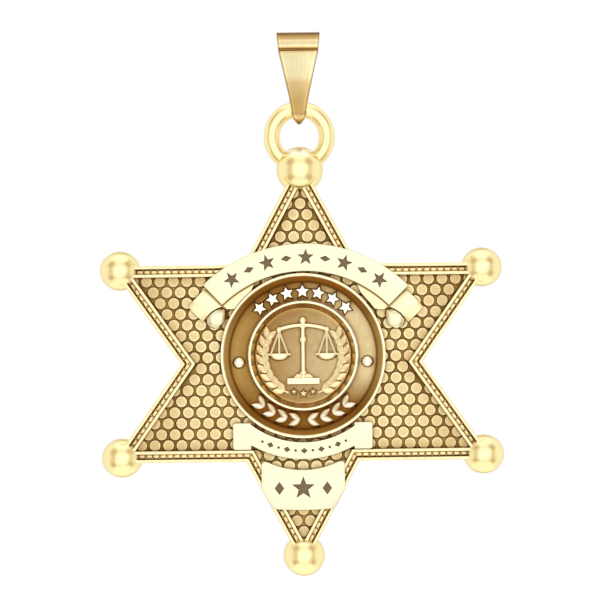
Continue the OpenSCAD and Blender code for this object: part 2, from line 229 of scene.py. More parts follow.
def modify(obj, kind, **settings):
    """Adds a modifier with its settings and applies it."""
    take(obj)
    bpy.ops.object.modifier_add(type=kind)
    modifier = obj.modifiers[-1]
    for name, value in settings.items():
        setattr(modifier, name, value)
    bpy.ops.object.modifier_apply(modifier=modifier.name)
    return obj


def round_edges(obj, width, segments=2):
    return modify(obj, "BEVEL", width=width, segments=segments, limit_method="ANGLE",
                  angle_limit=math.radians(40))


def combine(obj, tool, operation):
    """Cuts or crops obj with the tool, which is used up."""
    modify(obj, "BOOLEAN", object=tool, operation=operation, solver="EXACT", material_mode="TRANSFER")
    bpy.data.objects.remove(tool)
    return obj


def join(objects, name=""):
    """One object of several, which keeps the first one's name where no other is given."""
    clear_selection()
    for obj in objects:
        obj.select_set(True)
    bpy.context.view_layer.objects.active = objects[0]
    bpy.ops.object.join()
    apply_placing()
    if name:
        objects[0].name = name
    return objects[0]


def copies(obj, places):
    """Turns a shape into copies, each with its own mesh.

    Each place is (x, z, turn), with the turn in degrees against the clock.
    """
    made = []
    for x, z, turn in places:
        new = obj.copy()
        new.data = obj.data.copy()
        bpy.context.scene.collection.objects.link(new)
        new.location = (x, 0, z)
        new.rotation_euler = (0, -math.radians(turn), 0)
        made.append(new)
    bpy.data.objects.remove(obj)
    return made


# Outlines, against the clock as the front is seen

def arc(x, z, radius, start, end, count):
    angles = [math.radians(start + (end - start) * i / count) for i in range(count + 1)]
    return [(x + radius * math.cos(a), z + radius * math.sin(a)) for a in angles]


def mirrored(corners):
    return [(-x, z) for x, z in reversed(corners)]


def star_outline():
    left = [(0, TIP_Z), (-SHOULDER_X, SIDE_TIP_Z), (-SIDE_TIP_X, SIDE_TIP_Z), (-WAIST_X, 0),
            (-SIDE_TIP_X, -SIDE_TIP_Z), (-SHOULDER_X, -SIDE_TIP_Z), (0, -TIP_Z)]
    return [(x, z + STAR_Z) for x, z in left + mirrored(left[1:-1])]


def drawn_in(outline, inset):
    """The outline's corners, each moved inwards to where its two drawn-in sides meet."""
    places = [Vector(corner) for corner in outline]
    moved = []
    for i, corner in enumerate(places):
        before = (corner - places[i - 1]).normalized()
        after = (places[(i + 1) % len(places)] - corner).normalized()
        inwards = Vector((-before.y, before.x)), Vector((-after.y, after.x))
        moved.append(corner + (inwards[0] + inwards[1]) * inset / (1 + inwards[0].dot(inwards[1])))
    return moved


def ball_places():
    """Centre and radius of each ball."""
    places = [(0, STAR_Z + TIP_Z - BALL_INSET, TOP_BALL_R), (0, STAR_Z - TIP_Z + BALL_INSET, BOTTOM_BALL_R)]
    share = 1 - BALL_INSET / math.hypot(SIDE_TIP_X, SIDE_TIP_Z)
    for x in (-SIDE_TIP_X, SIDE_TIP_X):
        for z in (-SIDE_TIP_Z, SIDE_TIP_Z):
            places.append((x * share, STAR_Z + z * share, SIDE_BALL_R))
    return places


def edge_distance(x, z):
    """Distance from a point to the star's outline, below zero outside it."""
    corners = star_outline()
    nearest = math.inf
    inside = False
    for i, (bx, bz) in enumerate(corners):
        ax, az = corners[i - 1]
        dx, dz = bx - ax, bz - az
        share = ((x - ax) * dx + (z - az) * dz) / (dx * dx + dz * dz)
        share = min(1, max(0, share))
        nearest = min(nearest, math.hypot(x - ax - share * dx, z - az - share * dz))
        if (az > z) != (bz > z) and x < ax + dx * (z - az) / dz:
            inside = not inside
    return nearest if inside else -nearest


def on_ring(radius, angle, x=SEAL_X, z=SEAL_Z):
    """A place on a circle, at an angle from straight up. Its centre is the seal's if no other is given."""
    a = math.radians(angle)
    return x - radius * math.sin(a), z + radius * math.cos(a)


def on_emblem(x, z):
    """A place that is given from the seal's centre in shares of the emblem's radius."""
    return SEAL_X + x * EMBLEM_R, SEAL_Z + z * EMBLEM_R


# Starting shapes

def begin(add_primitive, name, scale=(1, 1, 1), **settings):
    """A primitive with its place, turn and size in its mesh."""
    clear_selection()
    add_primitive(**settings)
    obj = bpy.context.object
    obj.scale = scale
    apply_placing()
    obj.name = name
    return obj


def disc(name, sides, radius, depth=0.0, x=0.0, z=0.0, turn=0.0):
    """A flat face towards the front. Its first corner points up before the turn."""
    return begin(bpy.ops.mesh.primitive_circle_add, name, vertices=sides, radius=radius, fill_type="NGON",
                 location=(x, -depth, z), rotation=(QUARTER_TURN, -math.radians(turn), 0))


def ball(x, z, radius, depth, sides, size=(1, 1, 1), rotation=(0, 0, 0)):
    return begin(bpy.ops.mesh.primitive_uv_sphere_add, "ball", size, segments=sides, ring_count=sides // 2,
                 radius=radius, location=(x, -depth, z), rotation=rotation)


def flat_face(name, corners, depth):
    """A disc whose corners are moved, one by one, to an outline."""
    obj = disc(name, len(corners), 1, depth)
    starts = [corner.co.copy() for corner in obj.data.vertices]
    for start, (x, z) in zip(starts, corners):
        move_corner(obj, start, Vector((x, -depth, z)))
    return done(obj)


def slab(name, corners, back, front):
    obj = flat_face(name, corners, back)
    edit_all(obj)
    forward(front - back)
    return done(obj)


def star_face(name, radius, depth, x=0.0, z=0.0, turn=0.0, inner=0.42):
    """A five-pointed flat face: a disc of ten corners whose second corners are drawn in."""
    obj = disc(name, 10, radius, depth, x, z, turn)
    tips = [corner.co.copy() for corner in list(obj.data.vertices)[::2]]
    edit_corners(obj, lambda co: all((co - tip).length > 1e-5 for tip in tips))
    bpy.ops.transform.resize(value=(inner, inner, inner), center_override=(x, -depth, z))
    return done(obj)


def seal_core(radius, reach):
    """A drum about the seal's centre, to cut away what lies under the seal."""
    return deepen(disc("seal_core", 96, radius, 0, SEAL_X, SEAL_Z), reach)


# Finishes

def srgb(red, green, blue):
    """A colour as it looks on screen, from 0 to 255, as linear light."""
    parts = [c / 255 for c in (red, green, blue)]
    return [c / 12.92 if c <= 0.04045 else ((c + 0.055) / 1.055) ** 2.4 for c in parts] + [1]


class Nodes:
    """Adds and joins shader nodes."""

    def __init__(self, tree):
        self.tree = tree

    def add(self, kind, inputs=(), **settings):
        node = self.tree.nodes.new(kind)
        for name, value in settings.items():
            setattr(node, name, value)
        for socket, value in dict(inputs).items():
            self.put(node.inputs[socket], value)
        return node

    def put(self, socket, value):
        if isinstance(value, bpy.types.NodeSocket):
            self.tree.links.new(value, socket)
        else:
            socket.default_value = value

    def math(self, operation, first, second=0.0):
        return self.add("ShaderNodeMath", {0: first, 1: second}, operation=operation).outputs[0]

    def times(self, first, second):
        return self.math("MULTIPLY", first, second)

    def plus(self, first, second):
        return self.math("ADD", first, second)

    def less(self, first, second):
        return self.math("SUBTRACT", first, second)

    def larger(self, first, second):
        return self.math("MAXIMUM", first, second)

    def size(self, value):
        return self.math("ABSOLUTE", value)

    def vector(self, operation, first, second=(0, 0, 0), result="Vector"):
        return self.add("ShaderNodeVectorMath", {0: first, 1: second}, operation=operation).outputs[result]

    def map(self, value, low, high, to_low=0.0, to_high=1.0, smooth=False):
        node = self.add("ShaderNodeMapRange", {"Value": value, "From Min": low, "From Max": high,
                                               "To Min": to_low, "To Max": to_high})
        if smooth:
            node.interpolation_type = "SMOOTHSTEP"
        return node.outputs["Result"]

    def band(self, value, start, full, fading, end):
        """Rises from 0 at start to 1 at full, and falls from 1 at fading to 0 at end."""
        return self.times(self.map(value, start, full), self.map(value, end, fading))

    def mix(self, factor, first, second, blend_type="MIX"):
        node = self.add("ShaderNodeMix", data_type="RGBA", blend_type=blend_type)
        sockets = {socket.identifier: socket for socket in [*node.inputs, *node.outputs]}
        self.put(sockets["Factor_Float"], factor)
        self.put(sockets["A_Color"], first)
        self.put(sockets["B_Color"], second)
        return sockets["Result_Color"]

    def ramp(self, value, stops):
        """Colours at the stops (value, red, green, blue), blended evenly between them."""
        low, high = stops[0][0], stops[-1][0]
        node = self.add("ShaderNodeValToRGB", {"Fac": self.map(value, low, high)})
        elements = node.color_ramp.elements
        while len(elements) < len(stops):
            elements.new(0.5)
        for element, (place, *colour) in zip(elements, stops):
            element.position = (place - low) / (high - low)
            element.color = srgb(*colour)
        return node.outputs["Color"]


class Finish(Nodes):
    """A metal finish in millimetres of the part's own frame."""

    def __init__(self, name, metallic=1.0):
        self.material = bpy.data.materials.new(name)
        self.material.use_nodes = True
        super().__init__(self.material.node_tree)
        self.shader = self.tree.nodes["Principled BSDF"]
        self.set("Metallic", metallic)
        self.place = self.add("ShaderNodeTexCoord").outputs["Object"]

    def set(self, name, value):
        self.put(self.shader.inputs[name], value)

    def colour(self, value):
        self.set("Base Color", value)

    def roughness(self, grain, low, high):
        """Roughness from low to high with a noise."""
        self.set("Roughness", self.map(grain, 0.3, 0.7, low, high))

    def bump(self, height, distance):
        node = self.add("ShaderNodeBump", {"Height": height, "Distance": distance * MM, "Strength": 1.0})
        self.set("Normal", node.outputs["Normal"])

    def axis(self, name):
        parts = self.add("ShaderNodeSeparateXYZ", {0: self.place})
        return self.times(parts.outputs[name], 1 / MM)

    def aside(self):
        """Distance to either side of the middle."""
        return self.size(self.axis("X"))

    def depth(self):
        return self.times(self.axis("Y"), -1)

    def from_seal(self):
        """The place from the seal's centre, in millimetres, flat on the middle plane."""
        moved = self.vector("SUBTRACT", self.place, Vector((SEAL_X, 0, SEAL_Z)) * MM)
        return self.vector("MULTIPLY", moved, (1 / MM, 0, 1 / MM))

    def inside_line(self, x, z, start, end):
        """How far a place lies from a line, towards the star's centre."""
        (x0, z0), (x1, z1) = start, end
        length = math.hypot(x1 - x0, z1 - z0)
        across, up = (z1 - z0) / length, (x0 - x1) / length
        side = 1 if across * x0 + up * z0 < 0 else -1
        reach = abs(across * x0 + up * z0)
        return self.plus(self.plus(self.times(x, side * across), self.times(z, side * up)), reach)

    def rim_distance(self):
        """How far a place lies inwards from the star's outline."""
        x = self.aside()
        z = self.size(self.less(self.axis("Z"), STAR_Z))
        upright_arm = self.inside_line(x, z, (0, TIP_Z), (SHOULDER_X, SIDE_TIP_Z))
        waist = self.inside_line(x, z, (SIDE_TIP_X, SIDE_TIP_Z), (WAIST_X, 0))
        return self.math("MINIMUM", self.larger(upright_arm, self.less(SIDE_TIP_Z, z)), waist)

    def towards_tips(self):
        """From 0 at 13.2 mm from the star's centre to 1 at 16 mm, where the rims run up on the balls."""
        z = self.less(self.axis("Z"), STAR_Z)
        place = self.add("ShaderNodeCombineXYZ", {"X": self.axis("X"), "Z": z}).outputs[0]
        return self.map(self.vector("LENGTH", place, result="Value"), 13.2, 16, smooth=True)

    def noise(self, size, detail=2.0, stretch=(1, 1, 1)):
        """Soft noise whose grain is size millimetres."""
        place = self.vector("MULTIPLY", self.place, stretch)
        node = self.add("ShaderNodeTexNoise", {"Vector": place, "Scale": 1 / (size * MM), "Detail": detail})
        return node.outputs["Fac"]

    def painted_occlusion_shade(self, reach, low, high):
        """Painted shade from ambient occlusion: from 0 on open surfaces to 1 in corners and beside what
        stands higher, up to reach away.
        """
        node = self.add("ShaderNodeAmbientOcclusion", {"Distance": reach * MM}, samples=8)
        return self.map(node.outputs["AO"], high, low)


GOLD = [0.91, 0.79, 0.42, 1]
DEEP_GOLD = [0.88, 0.71, 0.34, 1]


def polished_gold():
    """The balls and the ring, with painted light that makes them paler and less metallic in the joint between
    them, just under the top ball's upper edge.
    """
    finish = Finish("polished_gold")
    tone = finish.mix(finish.map(finish.noise(1.6), 0.3, 0.7, 0, 0.35), GOLD, DEEP_GOLD)
    ball_top = STAR_Z + TIP_Z - BALL_INSET + TOP_BALL_R
    # Painted light: a pale band just under the top ball's upper edge, kept near the middle.
    joint = finish.band(finish.axis("Z"), ball_top - 0.9, ball_top - 0.5, ball_top - 0.36, ball_top - 0.2)
    joint = finish.times(joint, finish.map(finish.aside(), 1.2, 0.8))
    finish.colour(finish.mix(joint, tone, [0.99, 0.93, 0.74, 1]))
    finish.set("Metallic", finish.map(joint, 0, 1, 1, 0.4))
    finish.roughness(finish.noise(0.5, 3), 0.17, 0.25)
    finish.bump(finish.noise(0.25), 0.0012)
    return finish.material


def side_gold():
    """The star's outer walls and back, with a fine lengthwise polish."""
    finish = Finish("side_gold")
    polish = finish.noise(0.08, 3, (0.08, 1, 1))
    finish.colour(finish.mix(finish.map(polish, 0.35, 0.7, 0, 0.4), GOLD, DEEP_GOLD))
    finish.roughness(polish, 0.2, 0.32)
    finish.bump(polish, 0.002)
    return finish.material


def bail_gold():
    """Polished, with painted light and shade: paler above and deeper towards the foot, dark in the crease and
    on the rolled top, and a dark line and a glint along the edges.
    """
    finish = Finish("bail_gold")
    height = finish.axis("Z")
    dark = 112, 78, 30
    # Painted shading on the face, by height: deeper towards the foot, paler above and darkest in the crease.
    face = finish.ramp(height, [
        (BAIL_BOTTOM, 84, 46, 8), (-6.84, 104, 64, 18), (-6.72, 200, 160, 104), (-6.5, 226, 200, 148),
        (-6.2, 188, 158, 104), (-6.0, 172, 142, 86), (-5.2, 168, 140, 86), (-3.75, 186, 160, 112),
        (-3.2, 203, 190, 148), (-2.0, 206, 196, 156), (CREASE_Z - 0.34, 206, 192, 148),
        (CREASE_Z - 0.2, 190, 166, 116), (CREASE_Z - 0.12, 172, 142, 90), (CREASE_Z - 0.04, 146, 114, 60),
        (CREASE_Z + 0.04, *dark)])
    # Painted light and shade on the rolled top above the crease: bright bands between dark lines.
    fold = finish.ramp(height, [
        (CREASE_Z + 0.04, *dark), (-0.97, 144, 106, 50), (-0.9, 196, 162, 108), (-0.81, 240, 216, 164),
        (-0.73, 238, 218, 170), (-0.64, 220, 202, 160), (-0.55, 226, 208, 166), (-0.4, 236, 216, 168),
        (-0.32, 220, 198, 148), (-0.21, 184, 158, 108), (-0.12, 172, 143, 90), (0.03, 166, 129, 72),
        (0.12, 128, 97, 50), (0.24, *dark), (BAIL_TOP, 146, 112, 56)])
    tone = finish.mix(finish.map(height, CREASE_Z + 0.03, CREASE_Z + 0.05), face, fold)
    levels = [BAIL_BOTTOM + 0.1, FOOT_END_Z, NECK_Z, -EYE_R, BAIL_TOP]
    half_w = bail_half_width(levels[0])
    for low, high in zip(levels, levels[1:]):
        growth = bail_half_width(high) - bail_half_width(low)
        half_w = finish.plus(finish.map(height, low, high, 0, growth), half_w)
    from_edge = finish.less(half_w, finish.aside())
    # A painted glint just inside each edge.
    glint = finish.band(from_edge, 0.1, 0.16, 0.2, 0.3)
    tone = finish.mix(finish.times(glint, 0.6), tone, [1.35, 1.35, 1.3, 1], "MULTIPLY")
    # A painted dark line along the edges.
    tone = finish.mix(finish.map(from_edge, 0.12, 0.04, 0, 0.55), tone, srgb(132, 98, 44))
    brushed = finish.noise(0.12, 3, (1, 1, 0.12))
    finish.colour(finish.mix(finish.map(brushed, 0.35, 0.7, 0, 0.18), tone, srgb(178, 142, 84)))
    finish.roughness(brushed, 0.15, 0.24)
    finish.bump(brushed, 0.0012)
    return finish.material


def rim_gold():
    """Bright ridges, a dark line at the outer ridge's foot and a tan bed under the beads."""
    finish = Finish("rim_gold")
    inner = RIM_W - INNER_RIDGE_W
    bands = finish.ramp(finish.rim_distance(), [
        (-0.01, 176, 156, 120), (0.04, 208, 188, 146), (0.08, 236, 222, 176), (0.24, 232, 214, 166),
        (OUTER_RIDGE_W + 0.02, 140, 104, 52), (0.31, 104, 66, 18), (0.34, 160, 124, 66),
        (0.38, 226, 198, 146), (0.58, 232, 206, 154), (inner - 0.04, 216, 186, 130),
        (inner + 0.02, 236, 224, 178), (inner + 0.19, 234, 222, 178), (RIM_W, 186, 152, 98),
        (RIM_W + 0.03, 110, 74, 24)])
    stain = finish.noise(0.3, 3)
    worn = finish.mix(finish.map(stain, 0.4, 0.75, 0, 0.22), bands, srgb(150, 112, 58))
    channel = finish.times(finish.map(finish.depth(), 0.95, 0.86), finish.towards_tips())
    finish.colour(finish.mix(finish.times(channel, 0.7), worn, srgb(110, 72, 22)))
    finish.roughness(stain, 0.2, 0.34)
    finish.bump(finish.noise(0.1), 0.0015)
    return finish.material


def field_patina_and_painted_shade():
    """The dark patina on the floor between the pebbles, with painted shade that makes it darkest beside them
    and beside the rims.
    """
    finish = Finish("field_patina_and_painted_shade", 0.75)
    tone = finish.ramp(finish.noise(2.2, 3), [(0.3, 138, 102, 34), (0.5, 168, 132, 56), (0.7, 194, 158, 80)])
    # Painted shade: darker beside the rims, and beside the pebbles and in corners from ambient occlusion.
    rims = finish.map(finish.rim_distance(), RIM_W, RIM_W + 0.5, 0.6, 0, smooth=True)
    dark = finish.larger(rims, finish.painted_occlusion_shade(0.45, 0.2, 0.7))
    finish.colour(finish.mix(dark, tone, srgb(84, 48, 8)))
    finish.roughness(finish.noise(0.2, 3), 0.42, 0.6)
    finish.bump(finish.noise(0.09, 3), 0.006)
    return finish.material


def pebble_gold():
    """Satin tops with a fine speckle and a brighter edge as a painted highlight, with painted shade near the
    rims, in the tips and beside what stands higher.
    """
    finish = Finish("pebble_gold")
    # By depth: darker low on the sides, with a painted highlight on the brighter edge round each top.
    tone = finish.ramp(finish.depth(), [
        (0.6, 88, 52, 10), (0.72, 134, 96, 40), (0.77, 194, 160, 102), (0.81, 238, 224, 178),
        (0.833, 236, 220, 174), (0.8385, 222, 204, 156), (0.8425, 210, 192, 144)])
    speckle = finish.noise(0.12, 3)
    tone = finish.mix(finish.map(speckle, 0.42, 0.64, 0, 0.5), tone, srgb(186, 162, 104))
    tone = finish.mix(finish.map(finish.noise(1.3), 0.4, 0.7, 0, 0.25), tone, srgb(204, 172, 116))
    # Painted shade near the rims, towards the side tips and in the lower arm.
    rims = finish.map(finish.rim_distance(), RIM_W, RIM_W + 1.0, 0.45, 0, smooth=True)
    sideways = finish.map(finish.aside(), 8.5, 14, 0, 0.6, smooth=True)
    lowest = finish.map(finish.axis("Z"), STAR_Z - 7.5, STAR_Z - 13, 0, 0.3, smooth=True)
    tone = finish.mix(finish.larger(rims, finish.larger(sideways, lowest)), tone, srgb(166, 126, 68))
    # Painted shade beside what stands higher, from ambient occlusion.
    finish.colour(finish.mix(finish.painted_occlusion_shade(0.5, 0.3, 0.8), tone, srgb(96, 58, 14)))
    finish.roughness(speckle, 0.3, 0.44)
    finish.bump(speckle, 0.004)
    return finish.material


def bead_gold():
    """Tan beads painted brighter on top and darker low down, as painted light and shade, and darker where the
    rims run up on the balls.
    """
    finish = Finish("bead_gold")
    # Painted light and shade by depth: brighter on top, darker low down between the beads.
    tone = finish.ramp(finish.depth(), [
        (0.8, 204, 172, 116), (0.87, 214, 184, 128), (0.94, 226, 204, 150), (1.0, 238, 222, 174)])
    speckle = finish.noise(0.12, 3)
    tone = finish.mix(finish.map(speckle, 0.42, 0.65, 0, 0.55), tone, srgb(184, 148, 90))
    finish.colour(finish.mix(finish.times(finish.towards_tips(), 0.6), tone, srgb(132, 94, 40)))
    finish.set("Roughness", 0.28)
    finish.bump(speckle, 0.003)
    return finish.material


def seal_gold():
    """Brown antique finish with bright rings, with painted light that makes it paler to the right and painted
    shade that makes it darkest in the legend's top and bottom and beside the raised ornament.
    """
    finish = Finish("seal_gold")
    bright = 255, 245, 204
    from_seal = finish.from_seal()
    radius = finish.vector("LENGTH", from_seal, result="Value")
    tone = finish.ramp(radius, [
        (0.0, 146, 113, 60), (2.4, 142, 108, 55), (3.5, 135, 100, 48), (3.72, 150, 112, 54),
        (3.82, 236, 198, 122), (4.08, 246, 210, 136), (4.14, *bright), (4.37, *bright), (4.42, 118, 80, 30),
        (4.62, 152, 118, 62), (5.3, 158, 126, 70), (5.7, 148, 114, 58), (5.83, 108, 70, 24),
        (5.92, 134, 98, 46), (6.02, 168, 132, 72), (6.3, 174, 140, 82), (6.37, *bright), (6.53, *bright),
        (6.56, 190, 160, 106)])
    place = finish.add("ShaderNodeSeparateXYZ", {0: from_seal})
    across = finish.map(place.outputs["X"], -5, 5.5, smooth=True)
    top = finish.map(place.outputs["Z"], 1.2, 5.4, smooth=True)
    bottom = finish.map(place.outputs["Z"], -1.2, -4.6, smooth=True)

    def zone(low, high):
        """1 between two radii and 0 elsewhere."""
        return finish.band(radius, low - 0.03, low + 0.05, high - 0.05, high + 0.03)

    def shares(*parts):
        """The zones' sum, each times its share."""
        total = 0.0
        for part, share in parts:
            total = finish.plus(finish.times(part, share), total)
        return total

    legend, slope = zone(LEGEND_IN_R, LEGEND_OUT_R), zone(LEGEND_OUT_R, LIP_IN_R - 0.06)
    centre, inner_slope = finish.map(radius, 3.8, 3.72), zone(3.76, RING_IN_R)
    left_most = finish.map(across, 0.2, 1, 0.7, 0)
    high = shares((legend, left_most), (slope, 1), (inner_slope, 0.85), (centre, 0.3))
    low = shares((legend, 1), (slope, 0.85), (inner_slope, 0.3), (centre, 0.2))
    # Painted shade towards the top and the bottom, weighted by zone.
    dark = finish.plus(finish.times(top, high), finish.times(bottom, low))
    # Painted light: paler and less saturated towards the right, less where the painted shade is strong.
    lit = finish.times(across, finish.map(dark, 0, 0.8, 1, 0.2))
    lit = finish.times(lit, shares((legend, 0.55), (centre, 0.85), (inner_slope, 0.05)))
    stain = finish.map(finish.noise(0.9, 3), 0.45, 0.75, 0, 0.7)
    tone = finish.mix(lit, tone, [2.24, 3.2, 6.8, 1], "MULTIPLY")
    tone = finish.mix(finish.math("MINIMUM", dark, 1), tone, [0.5, 0.33, 0.14, 1], "MULTIPLY")
    tone = finish.mix(stain, tone, [0.86, 0.8, 0.7, 1], "MULTIPLY")
    # Painted shade beside the raised ornament in the emblem and the legend, from ambient occlusion.
    painted_occlusion_shade = finish.times(finish.painted_occlusion_shade(0.4, 0.35, 0.85), shares((centre, 0.85), (legend, 0.85)))
    finish.colour(finish.mix(painted_occlusion_shade, tone, srgb(92, 50, 8)))
    finish.roughness(finish.noise(0.3, 3), 0.28, 0.42)
    finish.bump(finish.noise(0.12, 3), 0.003)
    return finish.material


def relief_gold(name, base, foot, side, top, height=RELIEF_H):
    """Raised ornament, dark at its foot as a painted shadow and bright on top as a painted highlight, with
    the depth of its base and its height.
    """
    finish = Finish(name)
    finish.colour(finish.ramp(finish.depth(), [
        (base - 0.02, *foot), (base + 0.35 * height, *foot), (base + 0.55 * height, *side),
        (base + 0.85 * height, *top), (base + 1.2 * height, *top)]))
    finish.roughness(finish.noise(0.1), 0.22, 0.36)
    finish.bump(finish.noise(0.08), 0.002)
    return finish.material


def panel_gold():
    """Very pale polish with a faint satin grain."""
    finish = Finish("panel_gold")
    cloud = finish.map(finish.noise(1.5), 0.35, 0.7, 0, 0.2)
    finish.colour(finish.mix(cloud, [0.72, 0.69, 0.48, 1], [0.72, 0.66, 0.44, 1]))
    grain = finish.noise(0.06)
    finish.roughness(grain, 0.2, 0.3)
    finish.bump(grain, 0.0015)
    return finish.material


def engraved_brown():
    finish = Finish("engraved_brown", 0.35)
    grain = finish.noise(0.12, 3)
    finish.colour(finish.ramp(grain, [(0.3, 104, 84, 58), (0.7, 128, 108, 80)]))
    finish.set("Roughness", 0.55)
    finish.bump(grain, 0.004)
    return finish.material


def ribbon_gold():
    """The ribbon's folds: pale, with painted shade that is brown in the creases and low down, and a painted
    brown shadow line along the banner's edges.
    """
    finish = Finish("ribbon_gold")
    # Painted shade by depth: brown low down and in the creases, pale higher up.
    tone = finish.ramp(finish.depth(), [
        (PEBBLE_SEAT, 130, 92, 38), (0.95, 176, 136, 76), (1.03, 198, 170, 114), (1.09, 224, 212, 168),
        (1.3, 224, 217, 183)])
    moved = finish.vector("SUBTRACT", finish.place, Vector((BANNER_X, 0, BANNER_Z)) * MM)
    turn, half = math.radians(BANNER_TURN), math.radians(BANNER_HALF)

    def along(x, z):
        """How far a place lies from the banner's centre in a direction, in millimetres."""
        return finish.vector("DOT_PRODUCT", moved, (x / MM, 0, z / MM), "Value")

    across, up = along(math.cos(turn), -math.sin(turn)), along(math.sin(turn), math.cos(turn))
    past_end = finish.less(finish.times(finish.size(across), math.cos(half)),
                           finish.times(up, math.sin(half)))
    radius = finish.math("SQRT", finish.plus(finish.times(across, across), finish.times(up, up)))
    # Painted shadow: a brown line under the banner's inner edge and one just past its ends.
    banner_edge_shadow = finish.times(finish.map(radius, BANNER_IN_R - 0.17, BANNER_IN_R - 0.08),
                             finish.map(past_end, 0.04, -0.02))
    lines = finish.larger(finish.band(past_end, -0.05, 0, 0.06, 0.15), banner_edge_shadow)
    finish.colour(finish.mix(lines, tone, srgb(130, 95, 35)))
    finish.set("Roughness", 0.24)
    finish.bump(finish.noise(0.2), 0.002)
    return finish.material


def settle(obj, body, node, material=None, smooth=40):
    """Puts a finished piece into metres, on its body and in place of its node, and gives it its finish."""
    face_out(obj)
    obj.scale = (MM, MM, MM)
    apply_placing()
    bpy.ops.object.shade_smooth_by_angle(angle=math.radians(smooth))
    if material:
        obj.data.materials.clear()
        obj.data.materials.append(material)
    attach(obj, body)
    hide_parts(node)


# Star

def star_plate():
    """The plate with its double rim: ridge, channel, ridge, and the sunk field."""
    obj = slab("star_plate", star_outline(), PLATE_BACK, RIM_FRONT)
    edit_front(obj)
    border(OUTER_RIDGE_W)
    border(RIM_WALL, CHANNEL_FRONT - RIM_FRONT)
    border(CHANNEL_W - 2 * RIM_WALL)
    border(RIM_WALL, RIM_FRONT - CHANNEL_FRONT)
    border(INNER_RIDGE_W)
    border(RIM_WALL, FLOOR_FRONT - RIM_FRONT)
    done(obj)
    round_edges(obj, 0.07, 3)
    for material in (rim_gold(), field_patina_and_painted_shade(), side_gold()):
        obj.data.materials.append(material)
    for face in obj.data.polygons:
        depth = -face.center.y
        level = abs(face.normal.y) > 0.99
        if level and abs(depth - FLOOR_FRONT) < 0.01:
            face.material_index = 1
        elif depth < FLOOR_FRONT - 0.05 or outward(face):
            face.material_index = 2
    return obj


def outward(face):
    """True on the walls that face away from the star's outline."""
    step = Vector((face.normal.x, 0, face.normal.z))
    if step.length < 0.5:
        return False
    return edge_distance(face.center.x + 0.05 * step.x, face.center.z + 0.05 * step.z) < 0


def rim_beads():
    """The row of beads in the channel, round every corner and up to the balls."""
    half_l, half_w, cut = BEAD_L / 2, BEAD_W / 2, BEAD_W / 4
    corners = [(half_l - cut, half_w), (-half_l + cut, half_w), (-half_l, cut), (-half_l, -cut),
               (-half_l + cut, -half_w), (half_l - cut, -half_w), (half_l, -cut), (half_l, cut)]
    bead = slab("rim_beads", corners, CHANNEL_FRONT - 0.03, 0.9)
    edit_front(bead)
    border(0.04, 0.06)
    border(0.06, 0.04)
    done(bead)
    places = []
    row = drawn_in(star_outline(), BEAD_INSET)
    for i, end in enumerate(row):
        start = row[i - 1]
        along = end - start
        count = round(along.length / BEAD_PITCH)
        turn = math.degrees(math.atan2(along.y, along.x))
        for k in range(count):
            x, z = start + along * (k + 0.5) / count
            if all(math.hypot(x - bx, z - bz) > 0.3 * radius for bx, bz, radius in ball_places()):
                places.append((x, z, turn))
    return join(copies(bead, places))


def field_prism():
    """What is inside the inner ridge."""
    obj = flat_face("field", star_outline(), 0)
    edit_all(obj)
    border(RIM_W - 0.04)
    bpy.ops.mesh.select_all(action="INVERT")
    bpy.ops.mesh.delete(type="FACE")
    bpy.ops.mesh.select_all(action="SELECT")
    forward(2)
    outwards()
    return done(obj)


def field_pebbles():
    """The rows of pebbles, cropped at the rim and at the seal."""
    pebble = disc("field_pebbles", 20, PEBBLE_R, FLOOR_FRONT - 0.03)
    edit_all(pebble)
    forward(0.22)
    border(0.02, 0.035)
    border(0.08, 0.012)
    border(0.12, 0.006)
    done(pebble)
    whole, cropped = [], []
    rows = int((FIRST_ROW_Z + TIP_Z) / PEBBLE_ROW) + 1
    columns = int(SIDE_TIP_X / PEBBLE_PITCH) + 1
    for row in range(-2, rows + 1):
        for column in range(-columns, columns + 1):
            x = (column + (0.5 if row % 2 else 0)) * PEBBLE_PITCH
            z = STAR_Z + FIRST_ROW_Z - row * PEBBLE_ROW
            inside = edge_distance(x, z) - RIM_W
            beside = math.hypot(x - SEAL_X, z - SEAL_Z) - SEAL_R
            if inside < -PEBBLE_R / 2 or beside < -PEBBLE_R:
                continue
            clear = inside > PEBBLE_R and beside > PEBBLE_R
            (whole if clear else cropped).append((x, z, 0))
    made = copies(pebble, cropped + whole)
    edge_ones = face_out(join(made[:len(cropped)]))
    combine(edge_ones, field_prism(), "INTERSECT")
    combine(edge_ones, seal_core(SEAL_R + 0.02, 2), "DIFFERENCE")
    return join(made[len(cropped):] + [edge_ones], "field_pebbles")


def ball_tips():
    """The six polished balls, with the side ones a little wide."""
    balls = []
    for x, z, radius in ball_places():
        size = (1.02, 0.98, 1) if x else (1, 1, 1)
        balls.append(ball(x, z, radius, 0, 48, size, (QUARTER_TURN, 0, 0)))
    return join(balls, "ball_tips")


def jump_ring():
    return begin(bpy.ops.mesh.primitive_torus_add, "jump_ring", major_segments=96, minor_segments=28,
                 major_radius=RING_R, minor_radius=WIRE_R, location=(0, 0, SWING_Z - RING_R),
                 rotation=(QUARTER_TURN, 0, 0))


# Bail

def bail_half_width(z):
    """Half the bail's width: a slight taper to the crease, a long one to the neck and a round foot."""
    if z < FOOT_END_Z:
        return max(0.08, BAIL_FOOT_W / 2 * max(0, 1 - (FOOT_END_Z - z) / FOOT_END_H) ** 0.62)
    levels = [(FOOT_END_Z, BAIL_FOOT_W), (NECK_Z, BAIL_NECK_W), (-EYE_R, BAIL_CREASE_W),
              (BAIL_TOP + 0.01, BAIL_TOP_W)]
    for (low, low_w), (high, high_w) in zip(levels, levels[1:]):
        if z <= high:
            return (low_w + (z - low) / (high - low) * (high_w - low_w)) / 2
    return BAIL_TOP_W / 2


